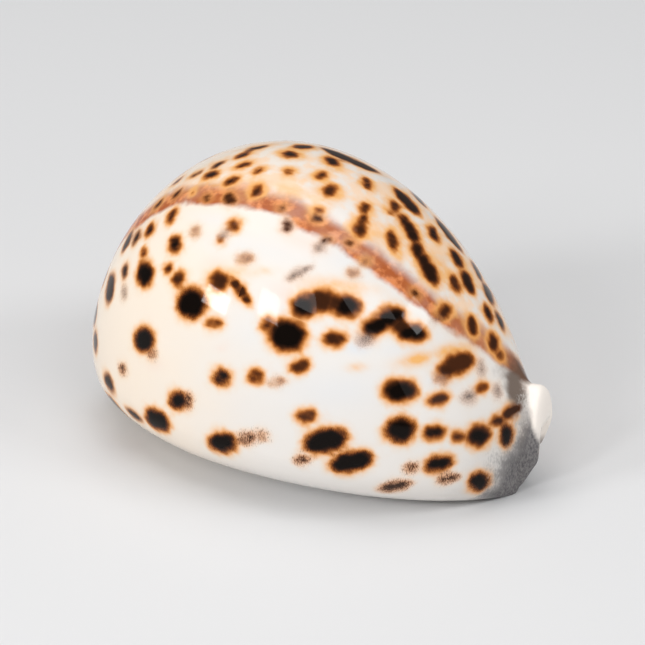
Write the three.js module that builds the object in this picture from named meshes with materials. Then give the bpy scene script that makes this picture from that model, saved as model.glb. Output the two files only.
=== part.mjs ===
// A tiger cowrie shell, lying on its base with the mouth down. Millimetres, +Z up. +X is the front, the
// narrow end with the beak, and -Y is the side of the outer lip. The origin is on the ground, under the middle.
// The shell is one piece: an egg with a thin roof and thick margins, open below along a slit between two
// toothed lips, with a canal at each end of the slit. It is lofted from C-shaped sections across X.
import * as THREE from "three";

// Overall size: the half widths are those of the outer lip's side and of the inner lip's side
const LENGTH = 90;
const HEIGHT = 55.4;
const HALF_OUTER = 30.5;
const HALF_INNER = 31.2;
const HALF_LENGTH = LENGTH / 2;

// How far the shell is moved to stand with its middle over the origin, as it is a little lopsided
const MOVE_X = 0.08;
const MOVE_Y = -0.41;

// The dome: where it starts and ends, how bluntly its widths and height rise behind and fall in front, and
// how far its crest lies towards the inner lip
const DOME_BACK = -44.3;
const DOME_FRONT = 41.2;
const OUTER_RISE = 0.436;
const OUTER_FALL = 0.465;
const INNER_RISE = 0.457;
const INNER_FALL = 0.655;
const HEIGHT_RISE = 0.496;
const HEIGHT_FALL = 0.639;
const CREST = 2.7;
const DOME_POWER = 2.17;
const BASE_POWER = 2.11;

// The margin, the widest line of the shell: its height at mid length and towards the two ends
const MARGIN = 14.1;
const MARGIN_BACK = 14.9;
const MARGIN_FRONT = 8.1;

// The beak in front and the blunt lobe behind, which stand out past the dome around the canals
const BEAK_Y = -0.5;
const BEAK_HALF = 3.7;
const BEAK_MIDDLE = 16.25;
const BEAK_TOP = 21.5;
const BEAK_BOTTOM = 5.8;
const BEAK_FROM = 40.2;
const NUB_CREST = 1;
const NUB_FROM = 36;
const LOBE_HALF = 10;
const LOBE_TOP = 20;
const LOBE_BOTTOM = 7;
const LOBE_FROM = -38.5;
const SIDE_JOIN = 3.7;
const TOP_JOIN = 5;
const END_ROUND = 3;
const END_POWER = 3.2;
const END_THICKNESS = 0.3;

// The base: flat on the ground, and lifting towards the back
const FLAT_DEPTH = 1;
const LIFT = 4.45;
const LIFT_FROM = -12;
const LIFT_CURVE = 1.5;

// The mouth: its centre line and half gap at the back canal, at mid length and at the front canal, and the
// rounding of the lips
const MOUTH_Y_BACK = 0;
const MOUTH_Y = -3.5;
const MOUTH_Y_FRONT = 0;
const GAP_BACK = 2.4;
const GAP_WIDE = 3.1;
const GAP_WIDE_AT = 28;
const GAP_FRONT = 0.7;
const LIP_ROUND = 2.6;
const TIP_ROUND = 1.4;
const LIP_CHAMFER = 1.2;

// The front canal runs out in a notch behind the tip of the outer lip: how far the inner lip's side stands
// back there, how far the notch itself, and where both begin and end across and up the beak
const TUCK = 1.2;
const TUCK_FROM_X = 36;
const TUCK_FROM_Y = -3.2;
const TUCK_TO_Y = -1.4;
const TUCK_TOP = 15.3;
const TUCK_DEPTH = 7.2;
const NOTCH = 2.4;
const NOTCH_HALF = 1;
const NOTCH_EDGE = 2.6;
const NOTCH_TOP = 15;
const NOTCH_DEPTH = 3;

// The teeth: ridges across both lips, left between grooves. Those of the inner lip stand half a pitch along
const TEETH = 23;
const TOOTH_PITCH = 3.3;
const GROOVE_OUTER = 1;
const GROOVE_INNER = 0.8;
const GROOVE_RUN = 3;
const TEETH_FADE = 4;

// Walls, at mid length and at the ends
const ROOF_WALL = 2;
const ROOF_WALL_BACK = 7.9;
const ROOF_WALL_FRONT = 10.4;
const SIDE_WALL = 3;
const SIDE_WALL_BACK = 6.8;
const SIDE_WALL_FRONT = 2.8;
const SIDE_WALL_FRONT_INNER = 1.8;
const FLOOR_WALL = 5;
const FLOOR_WALL_END = 3;

// How finely the surfaces are cut
const STEPS_PER_TOOTH = 6;
const LIP_STEPS = 4;
const OUTSIDE_STEPS = 40;
const INSIDE_STEPS = 18;
const END_STATIONS = [1.5, 3, 4.2, 5.2, 6, 6.6, 6.9, 7.05];

const share = (value, from, to) => Math.min(Math.max((value - from) / (to - from), 0), 1);
const mix = (a, b, t) => a + (b - a) * t;
const smooth = (t) => t * t * (3 - 2 * t);

// A hump over 0 to 1 that is 1 at its highest point. A small rise or fall makes that end blunt.
function hump(t, rise, fall) {
  const peak = rise / (rise + fall);
  return (t / peak) ** rise * ((1 - t) / (1 - peak)) ** fall;
}

// Two sizes joined so that the larger one rules, sharply for a high power
const join = (a, b, power) => (a ** power + b ** power) ** (1 / power);

// The mouth's centre line, which bends towards the inner lip behind and runs out in the beak in front
function mouthCentre(x) {
  const back = smooth(share(-x, 6, HALF_LENGTH));
  const front = smooth(share(x, 10, HALF_LENGTH));
  return MOUTH_Y + (MOUTH_Y_BACK - MOUTH_Y) * back + (MOUTH_Y_FRONT - MOUTH_Y) * front;
}

// Half the gap between the lips at x
function mouthGap(x) {
  const widening = mix(GAP_BACK, GAP_WIDE, smooth(share(x, -HALF_LENGTH, GAP_WIDE_AT)));
  return mix(widening, GAP_FRONT, smooth(share(x, GAP_WIDE_AT, HALF_LENGTH)));
}

// The grooves between the teeth at x, from 0 on a tooth to 1 in a groove, and 0 past the last teeth
function groove(x, shift) {
  const reach = (TEETH * TOOTH_PITCH) / 2;
  const fade = smooth(share(reach - Math.abs(x), 0, TEETH_FADE));
  return (fade * (1 - Math.cos((2 * Math.PI * (x + shift)) / TOOTH_PITCH))) / 2;
}

// All sizes of the section at x. Towards both ends the outside closes in on the canal.
function sizesAt(x) {
  const t = share(x, DOME_BACK, DOME_FRONT);
  const along = share(x, -HALF_LENGTH, HALF_LENGTH);
  const end = Math.abs(x / HALF_LENGTH) ** 4;
  const beak = smooth(share(x, BEAK_FROM, HALF_LENGTH));
  const lobe = smooth(share(-x, -LOBE_FROM, HALF_LENGTH));
  const closing = share(Math.abs(x), HALF_LENGTH - END_ROUND, HALF_LENGTH) ** END_POWER;
  const open = (1 - closing) ** (1 / END_POWER);
  const dome = hump(t, HEIGHT_RISE, HEIGHT_FALL);
  const centre = BEAK_Y * along ** 4;
  const outerEnd = mix(LOBE_HALF, BEAK_HALF - BEAK_Y, along);
  const innerEnd = mix(LOBE_HALF, BEAK_HALF + BEAK_Y, along);
  const outerFull = join(HALF_OUTER * hump(t, OUTER_RISE, OUTER_FALL), outerEnd, SIDE_JOIN) + centre;
  const innerFull = join(HALF_INNER * hump(t, INNER_RISE, INNER_FALL), innerEnd, SIDE_JOIN) - centre;
  const margin =
    MARGIN + (MARGIN_BACK - MARGIN) * (1 - along) ** 3 + (MARGIN_FRONT - MARGIN) * along ** 3;
  const topFull = join(margin + (HEIGHT - MARGIN) * dome, mix(LOBE_TOP, BEAK_TOP, along), TOP_JOIN);
  const middleFull = mix(margin, BEAK_MIDDLE, beak);
  const lift = LIFT * share(-x, -LIFT_FROM, HALF_LENGTH) ** LIFT_CURVE;
  const lowest = mix(mix(lift, LOBE_BOTTOM, lobe), BEAK_BOTTOM, beak);
  const bottom = lowest + (1 - open) * (x < 0 ? LIP_ROUND : TIP_ROUND);
  const mouth = mouthCentre(x);
  const gap = mouthGap(x);
  const outerWall = mix(SIDE_WALL, x < 0 ? SIDE_WALL_BACK : SIDE_WALL_FRONT, end);
  const innerWall = mix(SIDE_WALL, x < 0 ? SIDE_WALL_BACK : SIDE_WALL_FRONT_INNER, end);
  const inOuter = outerFull - outerWall;
  const inInner = innerFull - innerWall;
  const roof = topFull - mix(ROOF_WALL, x < 0 ? ROOF_WALL_BACK : ROOF_WALL_FRONT, end);
  const closed = (inside, full) => inside + END_THICKNESS + (full - inside - END_THICKNESS) * open;
  const outer = closed(inOuter, outerFull);
  const inner = closed(inInner, innerFull);
  const room = Math.min(outer + mouth - centre, inner - mouth + centre) - gap;
  const inMiddle = Math.min(middleFull, (bottom + roof) / 2);
  const floor = Math.min(bottom + mix(FLOOR_WALL, FLOOR_WALL_END, end), inMiddle - 0.8);
  return {
    centre,
    outer,
    inner,
    top: closed(roof, topFull),
    crest: CREST * dome + NUB_CREST * smooth(share(x, NUB_FROM, HALF_LENGTH)),
    middle: mix(inMiddle, middleFull, open),
    bottom,
    mouth,
    gap,
    round: Math.min(LIP_ROUND, 0.4 * room, 0.55 * (floor - bottom)),
    run: Math.min(GROOVE_RUN, 0.3 * room),
    inOuter,
    inInner,
    roof,
    inMiddle,
    floor,
    chamfer: Math.min(LIP_CHAMFER, (Math.min(inOuter, inInner) - gap) / 2),
  };
}

// How far out a point of a section lies at an angle, and how far up or down it reaches towards its limit. The
// angle is 0 straight down, a quarter turn at the outer lip's margin, half a turn on top and three quarters
// at the inner lip's margin.
function reachAt(angle, outer, inner) {
  const below = Math.cos(angle) > 0;
  const power = 2 / (below ? BASE_POWER : DOME_POWER);
  const side = Math.sin(angle) > 0 ? -outer : inner;
  return {
    below,
    out: side * Math.abs(Math.sin(angle)) ** power,
    up: Math.abs(Math.cos(angle)) ** power,
  };
}

// A point of the outside. The lowest FLAT_DEPTH is pressed flat.
function outsidePoint(s, angle) {
  const { below, out, up } = reachAt(angle, s.outer, s.inner);
  if (!below) return [s.centre + out + s.crest * up, s.middle + (s.top - s.middle) * up];
  const depth = s.middle - s.bottom;
  const above = Math.max(0, depth * (1 - up) - FLAT_DEPTH);
  return [s.centre + out, s.bottom + (above * depth) / (depth - FLAT_DEPTH)];
}

// A point of the inside, with the same angles
function insidePoint(s, angle) {
  const { below, out, up } = reachAt(angle, s.inOuter, s.inInner);
  if (!below) return [s.centre + out + s.crest * up, s.inMiddle + (s.roof - s.inMiddle) * up];
  return [s.centre + out, s.inMiddle - (s.inMiddle - s.floor) * up];
}

// The angle from straight down at which a lower half of this half width is at a distance from its centre
const lowerAngle = (distance, half) =>
  Math.asin(Math.min(1, Math.max(0, distance / half) ** (BASE_POWER / 2)));

// One lip, from its edge at the slit round onto the base. The side is -1 on the outer lip and 1 on the inner
// lip, and depth is that of the groove.
function lipPoints(s, side, depth) {
  const centreY = s.mouth + side * (s.gap + s.round);
  const half = side < 0 ? s.outer : s.inner;
  const base = outsidePoint(s, lowerAngle(side * (centreY - s.centre), half))[1];
  const radius = s.round - Math.min(depth, 0.6 * s.round);
  const points = [];
  for (let i = 0; i <= LIP_STEPS; i++) {
    const turn = (Math.PI / 2) * (i / LIP_STEPS);
    points.push([
      centreY - side * radius * Math.cos(turn),
      base + s.round - radius * Math.sin(turn),
    ]);
  }
  return points;
}

// One section as a closed loop of [y, z]: outer lip, outside, inner lip, and back along the inside
function sectionLoop(x) {
  const s = sizesAt(x);
  const outerLip = lipPoints(s, -1, GROOVE_OUTER * groove(x, 0));
  const innerLip = lipPoints(s, 1, GROOVE_INNER * groove(x, TOOTH_PITCH / 2));
  const offset = s.mouth - s.centre;
  const lipReach = s.gap + s.round + s.run;
  const start = lowerAngle(lipReach - offset, s.outer);
  const finish = 2 * Math.PI - lowerAngle(lipReach + offset, s.inner);
  const outside = [];
  for (let i = 0; i <= OUTSIDE_STEPS; i++) {
    outside.push(outsidePoint(s, mix(start, finish, i / OUTSIDE_STEPS)));
  }
  const slit = s.gap + s.chamfer;
  const inStart = lowerAngle(slit - offset, s.inOuter);
  const inFinish = 2 * Math.PI - lowerAngle(slit + offset, s.inInner);
  const inside = [];
  for (let i = 0; i <= INSIDE_STEPS; i++) {
    inside.push(insidePoint(s, mix(inFinish, inStart, i / INSIDE_STEPS)));
  }
  return [
    ...outerLip,
    ...outside,
    ...innerLip.reverse(),
    [s.mouth + s.gap, inside[0][1] - s.chamfer],
    ...inside,
    [s.mouth - s.gap, inside[INSIDE_STEPS][1] - s.chamfer],
  ];
}

// A point of a section in space. The front end stands back on the inner lip's side and at the notch.
function place(x, [y, z]) {
  const inward = smooth(share(y, TUCK_FROM_Y, TUCK_TO_Y));
  const nearNotch = 1 - smooth(share(Math.abs(y - MOUTH_Y_FRONT), NOTCH_HALF, NOTCH_EDGE));
  const tuck = TUCK * inward * smooth(share(TUCK_TOP - z, 0, TUCK_DEPTH));
  const notch = NOTCH * nearNotch * smooth(share(NOTCH_TOP - z, 0, NOTCH_DEPTH));
  const back = (tuck + notch) * smooth(share(x, TUCK_FROM_X, HALF_LENGTH));
  return [x - back + MOVE_X, y + MOVE_Y, z];
}

// Stations along X: fine ones through the teeth, of which one in each tooth is also a main station, and
// closer ones towards the rims
function stations() {
  const reach = (TEETH * TOOTH_PITCH) / 2;
  const list = [];
  for (let i = 0; i <= TEETH * STEPS_PER_TOOTH; i++) {
    const x = -reach + (i * TOOTH_PITCH) / STEPS_PER_TOOTH;
    list.push({ x, main: i % STEPS_PER_TOOTH === 0 });
  }
  for (const past of END_STATIONS) {
    list.push({ x: reach + past, main: true });
    list.unshift({ x: -reach - past, main: true });
  }
  return list;
}

// The triangles between two rows of points that start and end at the same two stations
function zip(left, right, add) {
  let i = 0;
  let j = 0;
  while (i < left.length - 1 || j < right.length - 1) {
    const leftNext = i < left.length - 1 ? left[i + 1].x : Infinity;
    const rightNext = j < right.length - 1 ? right[j + 1].x : Infinity;
    if (leftNext <= rightNext) {
      add(left[i], left[i + 1], right[j]);
      i++;
    } else {
      add(left[i], right[j + 1], right[j]);
      j++;
    }
  }
}

// The closed shell. The lips are cut at every station, and all else at the main ones.
function shellGeometry() {
  const list = stations();
  const loops = list.map((station) => sectionLoop(station.x));
  const count = loops[0].length;
  const lip = LIP_STEPS + 1;
  const innerLipAt = lip + OUTSIDE_STEPS + 1;
  const isFine = (j) => j < lip || (j >= innerLipAt && j < innerLipAt + lip);
  const position = [];
  const rows = [];
  for (let j = 0; j < count; j++) {
    rows.push([]);
    list.forEach((station, k) => {
      if (!station.main && !isFine(j)) return;
      rows[j].push({ x: station.x, vertex: position.length / 3 });
      position.push(...place(station.x, loops[k][j]));
    });
  }
  const index = [];
  const add = (a, b, c) => index.push(a.vertex, b.vertex, c.vertex);
  const mains = list.filter((station) => station.main).map((station) => station.x);
  const within = (row, from, to) => row.filter((point) => point.x >= from && point.x <= to);
  for (let j = 0; j < count; j++) {
    const next = rows[(j + 1) % count];
    for (let m = 0; m < mains.length - 1; m++) {
      zip(within(rows[j], mains[m], mains[m + 1]), within(next, mains[m], mains[m + 1]), add);
    }
  }
  const flat = (loop) => loop.map(([y, z]) => new THREE.Vector2(y, z));
  const ends = [
    { loop: loops[0], at: 0, back: true },
    { loop: loops[loops.length - 1], at: -1, back: false },
  ];
  for (const { loop, at, back } of ends) {
    for (const [a, b, c] of THREE.ShapeUtils.triangulateShape(flat(loop), [])) {
      const corner = (j) => rows[j].at(at);
      if (back) add(corner(a), corner(c), corner(b));
      else add(corner(a), corner(b), corner(c));
    }
  }
  const geometry = new THREE.BufferGeometry();
  geometry.setAttribute("position", new THREE.Float32BufferAttribute(position, 3));
  geometry.setIndex(index);
  geometry.computeVertexNormals();
  return geometry;
}

// Glossy cream shell
const shell = new THREE.Mesh(
  shellGeometry(),
  new THREE.MeshStandardMaterial({ color: 0xf3e6d8, roughness: 0.15, metalness: 0 }),
);
shell.name = "shell";

const cowrie = new THREE.Group();
cowrie.add(shell);
export default cowrie;
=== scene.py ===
"""A tiger cowrie shell, lying mouth down on a pale floor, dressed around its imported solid. Metres, Z up."""

import bpy
import math
import numpy as np
from mathutils import Matrix, Vector
from mathutils.bvhtree import BVHTree


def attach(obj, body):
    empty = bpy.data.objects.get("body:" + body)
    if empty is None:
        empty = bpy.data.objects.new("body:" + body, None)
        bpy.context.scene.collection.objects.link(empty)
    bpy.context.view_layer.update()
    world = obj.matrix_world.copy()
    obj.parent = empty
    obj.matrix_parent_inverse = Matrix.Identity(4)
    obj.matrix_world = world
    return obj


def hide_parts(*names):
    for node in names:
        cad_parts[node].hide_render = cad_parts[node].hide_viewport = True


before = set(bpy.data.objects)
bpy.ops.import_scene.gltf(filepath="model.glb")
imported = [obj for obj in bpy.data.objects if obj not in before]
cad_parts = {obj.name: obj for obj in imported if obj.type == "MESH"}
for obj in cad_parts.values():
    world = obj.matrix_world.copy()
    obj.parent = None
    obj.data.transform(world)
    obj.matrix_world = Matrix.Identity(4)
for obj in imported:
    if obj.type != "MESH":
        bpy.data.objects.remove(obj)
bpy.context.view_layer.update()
MM = 0.001

# The camera. It looks down on the shell from the side of the outer lip, a little towards the beak, through
# a long lens. The markings below are placed by where they lie in its picture.
PICTURE = 645
AIM = Vector((0.08, -0.41, 22.0)) * MM
AIM_AT_PIXEL = (323.9, 333.5)
DISTANCE = 641.0 * MM
TURN = math.radians(26)
RISE = math.radians(29.07)
FOCAL_PIXELS = 3465.0
SENSOR = 36.0

back = Vector((math.sin(TURN) * math.cos(RISE), -math.cos(TURN) * math.cos(RISE), math.sin(RISE)))
right = Vector((math.cos(TURN), math.sin(TURN), 0.0))
up = back.cross(right)
eye = AIM + back * DISTANCE
lens = bpy.data.cameras.new("studio_camera")
lens.sensor_width = SENSOR
lens.lens = SENSOR * FOCAL_PIXELS / PICTURE
lens.shift_x = -(AIM_AT_PIXEL[0] - PICTURE / 2) / PICTURE
lens.shift_y = (AIM_AT_PIXEL[1] - PICTURE / 2) / PICTURE
lens.clip_start, lens.clip_end = 0.01, 20
camera = bpy.data.objects.new("studio_camera", lens)
camera.matrix_world = Matrix.Translation(eye) @ Matrix((right, up, back)).transposed().to_4x4()
bpy.context.scene.collection.objects.link(camera)
bpy.context.scene.camera = camera


# The shell. One piece of hard enamel, grown by the animal around an egg-shaped cavity: a thin high dome
# on thick margins, with a lobe behind and a beak in front where the slit of the mouth runs out in canals.
# It is lofted from C-shaped sections across its length, by the same rule as the solid that it replaces.
LENGTH, HEIGHT = 90.0, 55.4
HALF_OUTER, HALF_INNER = 30.5, 31.2
DOME_BACK, DOME_FRONT = -44.3, 41.2
OUTER_RISE, OUTER_FALL = 0.436, 0.465
INNER_RISE, INNER_FALL = 0.457, 0.655
HEIGHT_RISE, HEIGHT_FALL = 0.496, 0.639
CREST = 2.7
DOME_POWER, BASE_POWER = 2.17, 2.11
MARGIN, MARGIN_BACK, MARGIN_FRONT = 14.1, 14.9, 8.1
BEAK_Y, BEAK_HALF, BEAK_MIDDLE = -0.5, 3.7, 16.25
BEAK_TOP, BEAK_BOTTOM, BEAK_FROM = 21.5, 5.8, 40.2
NUB_CREST, NUB_FROM = 1.0, 36.0
LOBE_HALF, LOBE_TOP, LOBE_BOTTOM, LOBE_FROM = 10.0, 20.0, 7.0, -38.5
SIDE_JOIN, TOP_JOIN = 3.7, 5.0
END_ROUND, END_POWER, END_THICKNESS = 3.0, 3.2, 0.3
FLAT_DEPTH = 1.0
LIFT, LIFT_FROM, LIFT_CURVE = 4.45, -12.0, 1.5
MOUTH_Y_BACK, MOUTH_Y, MOUTH_Y_FRONT = 0.0, -3.5, 0.0
BEND_BACK, BEND_FRONT = 6, 10
GAP_BACK, GAP_WIDE, GAP_WIDE_AT, GAP_FRONT = 2.4, 3.1, 28.0, 0.7
LIP_ROUND, TIP_ROUND, LIP_CHAMFER, LIP_RUN = 2.6, 1.4, 1.2, 3.0
TUCK, TUCK_FROM_X, TUCK_FROM_Y, TUCK_TO_Y = 1.2, 36.0, -3.2, -1.4
TUCK_TOP, TUCK_DEPTH = 15.3, 7.2
NOTCH, NOTCH_HALF, NOTCH_EDGE, NOTCH_TOP, NOTCH_DEPTH = 2.4, 1.0, 2.6, 15.0, 3.0
ROOF_WALL, ROOF_WALL_BACK, ROOF_WALL_FRONT = 2.0, 7.9, 10.4
SIDE_WALL, SIDE_WALL_BACK, SIDE_WALL_FRONT, SIDE_WALL_FRONT_INNER = 3.0, 6.8, 2.8, 1.8
FLOOR_WALL, FLOOR_WALL_END, FLOOR_ROOM = 5.0, 3.0, 0.8
MOVE = np.array([0.08, -0.41, 0.0])
MAIN_STATIONS, END_STATIONS = 290, 16
LIP_STEPS, OUTSIDE_STEPS, INSIDE_STEPS = 9, 204, 44


def share(value, start, stop):
    return np.clip((value - start) / (stop - start), 0, 1)


def mix(a, b, t):
    return a + (b - a) * t


def smooth(t):
    t = np.clip(t, 0, 1)
    return t * t * (3 - 2 * t)


def hump(t, rise, fall):
    """1 at its highest, and 0 at 0 and 1"""
    peak = rise / (rise + fall)
    return (t / peak) ** rise * ((1 - t) / (1 - peak)) ** fall


def join(a, b, power):
    return (a**power + b**power) ** (1 / power)


class Section:
    """All sizes of the section at x, in millimetres"""

    def __init__(self, x):
        half = LENGTH / 2
        t = share(x, DOME_BACK, DOME_FRONT)
        along = share(x, -half, half)
        end = abs(x / half) ** 4
        beak = smooth(share(x, BEAK_FROM, half))
        lobe = smooth(share(-x, -LOBE_FROM, half))
        closing = share(abs(x), half - END_ROUND, half) ** END_POWER
        opening = (1 - closing) ** (1 / END_POWER)
        dome = hump(t, HEIGHT_RISE, HEIGHT_FALL)
        self.centre = BEAK_Y * along**4
        outer_end = mix(LOBE_HALF, BEAK_HALF - BEAK_Y, along)
        inner_end = mix(LOBE_HALF, BEAK_HALF + BEAK_Y, along)
        outer = join(HALF_OUTER * hump(t, OUTER_RISE, OUTER_FALL), outer_end, SIDE_JOIN) + self.centre
        inner = join(HALF_INNER * hump(t, INNER_RISE, INNER_FALL), inner_end, SIDE_JOIN) - self.centre
        margin = MARGIN + (MARGIN_BACK - MARGIN) * (1 - along) ** 3 + (MARGIN_FRONT - MARGIN) * along**3
        top = join(margin + (HEIGHT - MARGIN) * dome, mix(LOBE_TOP, BEAK_TOP, along), TOP_JOIN)
        middle = mix(margin, BEAK_MIDDLE, beak)
        lift = LIFT * share(-x, -LIFT_FROM, half) ** LIFT_CURVE
        lowest = mix(mix(lift, LOBE_BOTTOM, lobe), BEAK_BOTTOM, beak)
        self.bottom = lowest + (1 - opening) * (LIP_ROUND if x < 0 else TIP_ROUND)
        to_back, to_front = smooth(share(-x, BEND_BACK, half)), smooth(share(x, BEND_FRONT, half))
        self.mouth = MOUTH_Y + (MOUTH_Y_BACK - MOUTH_Y) * to_back + (MOUTH_Y_FRONT - MOUTH_Y) * to_front
        widening = mix(GAP_BACK, GAP_WIDE, smooth(share(x, -half, GAP_WIDE_AT)))
        self.gap = mix(widening, GAP_FRONT, smooth(share(x, GAP_WIDE_AT, half)))
        ends = (SIDE_WALL_BACK, SIDE_WALL_BACK, ROOF_WALL_BACK)
        if x >= 0:
            ends = (SIDE_WALL_FRONT, SIDE_WALL_FRONT_INNER, ROOF_WALL_FRONT)
        self.in_outer = outer - mix(SIDE_WALL, ends[0], end)
        self.in_inner = inner - mix(SIDE_WALL, ends[1], end)
        self.roof = top - mix(ROOF_WALL, ends[2], end)
        close = lambda inside, full: inside + END_THICKNESS + (full - inside - END_THICKNESS) * opening
        self.outer, self.inner = close(self.in_outer, outer), close(self.in_inner, inner)
        self.top = close(self.roof, top)
        offset = self.mouth - self.centre
        room = min(self.outer + offset, self.inner - offset) - self.gap
        self.in_middle = min(middle, (self.bottom + self.roof) / 2)
        self.middle = mix(self.in_middle, middle, opening)
        self.crest = CREST * dome + NUB_CREST * smooth(share(x, NUB_FROM, half))
        self.floor = min(self.bottom + mix(FLOOR_WALL, FLOOR_WALL_END, end), self.in_middle - FLOOR_ROOM)
        self.round = min(LIP_ROUND, 0.4 * room, 0.55 * (self.floor - self.bottom))
        self.run = min(LIP_RUN, 0.3 * room)
        self.chamfer = min(LIP_CHAMFER, (min(self.in_outer, self.in_inner) - self.gap) / 2)

    def reach(self, angle, outer, inner):
        """How far out and how far up or down the section reaches at angles that start straight down"""
        below = np.cos(angle) > 0
        power = 2 / np.where(below, BASE_POWER, DOME_POWER)
        side = np.where(np.sin(angle) > 0, -outer, inner)
        return below, side * np.abs(np.sin(angle)) ** power, np.abs(np.cos(angle)) ** power

    def outside(self, angle):
        below, out, up = self.reach(angle, self.outer, self.inner)
        depth = self.middle - self.bottom
        above = np.maximum(0, depth * (1 - up) - FLAT_DEPTH)
        y = self.centre + out + np.where(below, 0, self.crest * up)
        low = self.bottom + above * depth / (depth - FLAT_DEPTH)
        return np.stack([y, np.where(below, low, self.middle + (self.top - self.middle) * up)], 1)

    def inside(self, angle):
        below, out, up = self.reach(angle, self.in_outer, self.in_inner)
        y = self.centre + out + np.where(below, 0, self.crest * up)
        low = self.in_middle - (self.in_middle - self.floor) * up
        return np.stack([y, np.where(below, low, self.in_middle + (self.roof - self.in_middle) * up)], 1)

    def lip(self, side):
        """The lip from its edge at the slit round onto the base"""
        middle = self.mouth + side * (self.gap + self.round)
        half = self.outer if side < 0 else self.inner
        base = self.outside(np.array([lower_angle(side * (middle - self.centre), half)]))[0, 1]
        turn = np.linspace(0, math.pi / 2, LIP_STEPS + 1)
        y = middle - side * self.round * np.cos(turn)
        return np.stack([y, base + self.round - self.round * np.sin(turn)], 1)

    def loop(self):
        """The whole section: outer lip, outside, inner lip, and back along the inside"""
        offset = self.mouth - self.centre
        reach = self.gap + self.round + self.run
        start = lower_angle(reach - offset, self.outer)
        finish = 2 * math.pi - lower_angle(reach + offset, self.inner)
        outside = self.outside(np.linspace(start, finish, OUTSIDE_STEPS + 1))
        slit = self.gap + self.chamfer
        inside_start = lower_angle(slit - offset, self.in_outer)
        inside_finish = 2 * math.pi - lower_angle(slit + offset, self.in_inner)
        inside = self.inside(np.linspace(inside_finish, inside_start, INSIDE_STEPS + 1))
        wall_inner = [[self.mouth + self.gap, inside[0, 1] - self.chamfer]]
        wall_outer = [[self.mouth - self.gap, inside[-1, 1] - self.chamfer]]
        rows = [self.lip(-1), outside, self.lip(1)[::-1], wall_inner, inside, wall_outer]
        return np.concatenate([np.asarray(row) for row in rows])


def lower_angle(distance, half):
    return math.asin(min(1, max(0, distance / half) ** (BASE_POWER / 2)))


main_half = LENGTH / 2 - END_ROUND
quarter = np.linspace(0, math.pi / 2, END_STATIONS + 1)[1:]
rounding = main_half + END_ROUND * np.sin(quarter) ** (2 / END_POWER)
stations = np.concatenate([-rounding[::-1], np.linspace(-main_half, main_half, MAIN_STATIONS), rounding])
loops = np.array([Section(x).loop() for x in stations])
rows, columns = loops.shape[:2]
points = np.concatenate([np.repeat(stations[:, None, None], columns, 1), loops], 2)
inward = smooth(share(points[..., 1], TUCK_FROM_Y, TUCK_TO_Y))
near_notch = 1 - smooth(share(np.abs(points[..., 1] - MOUTH_Y_FRONT), NOTCH_HALF, NOTCH_EDGE))
tuck = TUCK * inward * smooth(share(TUCK_TOP - points[..., 2], 0, TUCK_DEPTH))
notch = NOTCH * near_notch * smooth(share(NOTCH_TOP - points[..., 2], 0, NOTCH_DEPTH))
points[..., 0] -= (tuck + notch) * smooth(share(points[..., 0], TUCK_FROM_X, LENGTH / 2))
points = (points + MOVE).reshape(-1, 3)
row, column = np.meshgrid(np.arange(rows - 1), np.arange(columns), indexing="ij")
following = (column + 1) % columns
corners = [row * columns + column, (row + 1) * columns + column, (row + 1) * columns + following]
quads = np.stack(corners + [row * columns + following], -1).reshape(-1, 4)
first_rim = list(range(columns))
last_rim = [(rows - 1) * columns + k for k in range(columns)][::-1]
shell_mesh = bpy.data.meshes.new("cowrie_shell")
shell_mesh.from_pydata((points * MM).tolist(), [], quads.tolist() + [first_rim, last_rim])
shell_mesh.shade_smooth()
shell_mesh.update()

column_of = np.tile(np.arange(columns), rows)
outside_first = LIP_STEPS + 1
outside_last = outside_first + OUTSIDE_STEPS
inner_lip_last = outside_last + LIP_STEPS + 1
is_outside = (column_of >= outside_first) & (column_of <= outside_last)
cowrie = bpy.data.objects.new("cowrie_shell", shell_mesh)
bpy.context.scene.collection.objects.link(cowrie)

# The teeth. Ridges of the same enamel across both lips, left between grooves that the growing lip folds
# in. They run on a little onto the base, and those of the inner lip stand half a pitch along.
TEETH = 23
TOOTH_PITCH = 3.3
GROOVE_OUTER, GROOVE_INNER = 1.0, 0.8
TEETH_FADE = 4.0
RUN_STEPS = 7


def keep(mesh, name, values):
    """Stores one number for each corner point of the mesh"""
    layer = mesh.attributes.new(name, "FLOAT", "POINT")
    layer.data.foreach_set("value", np.ascontiguousarray(values, dtype=np.float32))


lip_reach = np.zeros(len(points))
for k in range(LIP_STEPS + 1):
    lip_reach[column_of == k] = 1
    lip_reach[column_of == outside_last + 1 + k] = 1
for k in range(RUN_STEPS):
    left = 1 - (k + 1) / (RUN_STEPS + 1)
    lip_reach[column_of == outside_first + k] = smooth(left)
    lip_reach[column_of == outside_last - k] = smooth(left)
is_inner_lip = (column_of > outside_last - OUTSIDE_STEPS // 2) & (column_of < inner_lip_last + 1)
keep(shell_mesh, "lip_reach", lip_reach)
keep(shell_mesh, "inner_lip", is_inner_lip.astype(float))


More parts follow.
